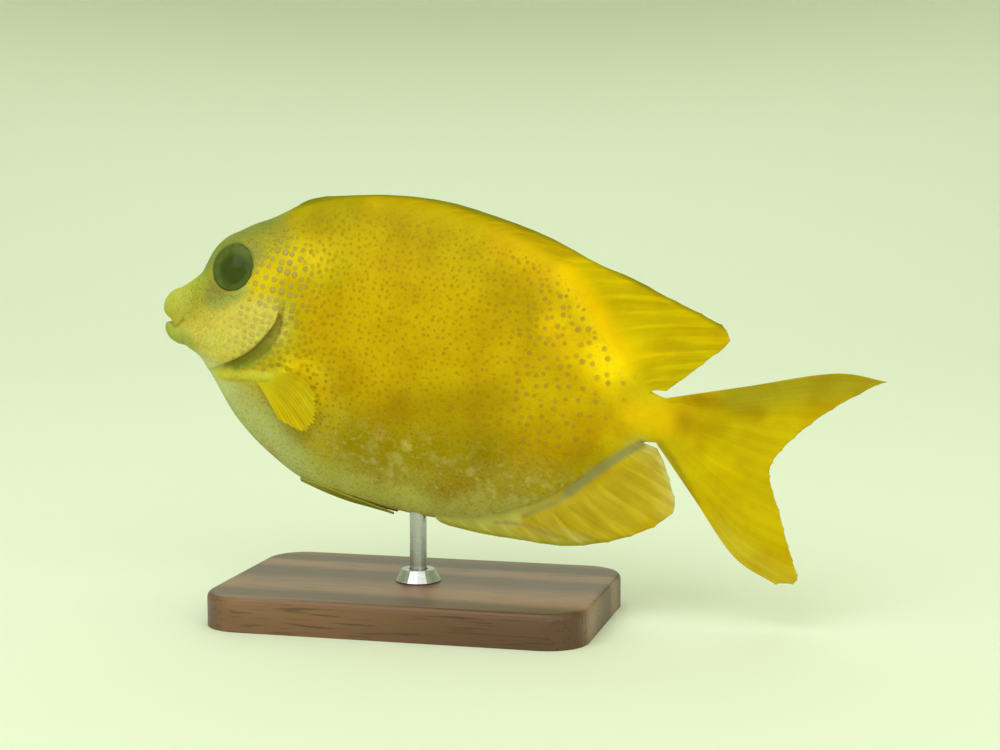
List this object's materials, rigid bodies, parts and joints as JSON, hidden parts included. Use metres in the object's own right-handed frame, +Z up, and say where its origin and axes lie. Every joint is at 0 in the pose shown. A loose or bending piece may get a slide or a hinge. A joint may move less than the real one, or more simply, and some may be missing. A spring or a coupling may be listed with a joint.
{
  "type": "blue-spotted spinefoot display model",
  "caption": "Life-size still model of a yellow reef fish with small blue-grey spots, swimming to the left, held over a flat base by a rod.",
  "frame": {"origin": "middle of the underside of the stand's base", "axes": "+X towards the fish's tail, +Y towards its right side, +Z up; the fish heads towards -X"},
  "size_m": [0.2557, 0.084, 0.1484],
  "materials": {
    "head_skin": "moist fish skin, olive yellow with fine blue-grey spots on the cheek and a dusky band through the eye",
    "body_skin": "moist fish skin, golden yellow with many small blue-grey spots, olive green on the belly",
    "fin_membrane": "thin yellow fin membrane stiffened by rays, slightly translucent",
    "eye": "wet dark eye, green-black with a thin pale rim",
    "stand_wood": "oiled walnut",
    "stand_steel": "brushed stainless steel"
  },
  "bodies": {
    "root": {"head": "head_skin", "trunk": "body_skin", "tail_root": "body_skin", "dorsal_fin_spiny": "fin_membrane", "dorsal_fin_soft": "fin_membrane", "anal_fin_spiny": "fin_membrane", "anal_fin_soft": "fin_membrane", "caudal_fin_upper_lobe": "fin_membrane", "caudal_fin_lower_lobe": "fin_membrane", "pectoral_fin_left": "fin_membrane", "pectoral_fin_right": "fin_membrane", "pelvic_fin_left": "fin_membrane", "pelvic_fin_right": "fin_membrane", "eye_left": "eye", "eye_right": "eye", "stand_base": "stand_wood", "stand_rod": "stand_steel", "stand_collar": "stand_steel"}
  },
  "joints": []
}
